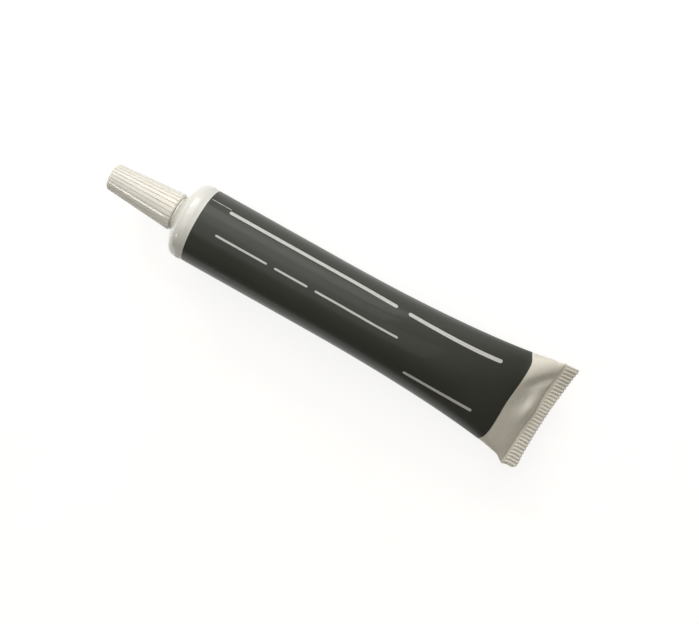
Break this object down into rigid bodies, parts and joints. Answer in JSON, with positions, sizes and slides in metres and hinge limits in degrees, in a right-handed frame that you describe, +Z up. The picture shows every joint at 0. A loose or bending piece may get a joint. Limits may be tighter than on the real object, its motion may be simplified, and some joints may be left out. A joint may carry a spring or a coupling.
{
  "type": "squeeze tube",
  "caption": "Soft squeeze tube of lock grease with a dark band, a ribbed flat tail seal, a rounded shoulder and a long tapered fluted screw cap over its nozzle.",
  "frame": {"origin": "on the table below the middle of the tube's length, straight under its axis", "axes": "+X along the tube's axis from the tail seal to the cap, +Y across the flat tail seal, +Z up"},
  "size_m": [0.122, 0.0304, 0.019],
  "materials": {
    "sleeve_plastic": "satin",
    "band_film": "gloss",
    "head_plastic": "gloss",
    "cap_plastic": "satin",
    "seal_rubber": "matte",
    "grease": "gloss"
  },
  "bodies": {
    "tube": {"tube_sleeve": "sleeve_plastic", "printed_band": "band_film", "tube_head": "head_plastic", "grease_fill": "grease"},
    "seal": {"tip_seal": "seal_rubber"},
    "cap": {"screw_cap": "cap_plastic"}
  },
  "joints": [
    {"name": "cap_lift", "type": "slide", "parent": "tube", "child": "seal", "axis": [1, 0, 0], "range_m": [0, 0.02]},
    {"name": "cap_turn", "type": "hinge", "parent": "seal", "child": "cap", "pos_m": [0.0426, 0, 0.00941], "axis": [1, 0, 0], "range_deg": [0, 3600]}
  ],
  "couplings": [
    {"joint": "cap_turn", "follows": "cap_lift", "rad_per_m": 3141.6}
  ]
}
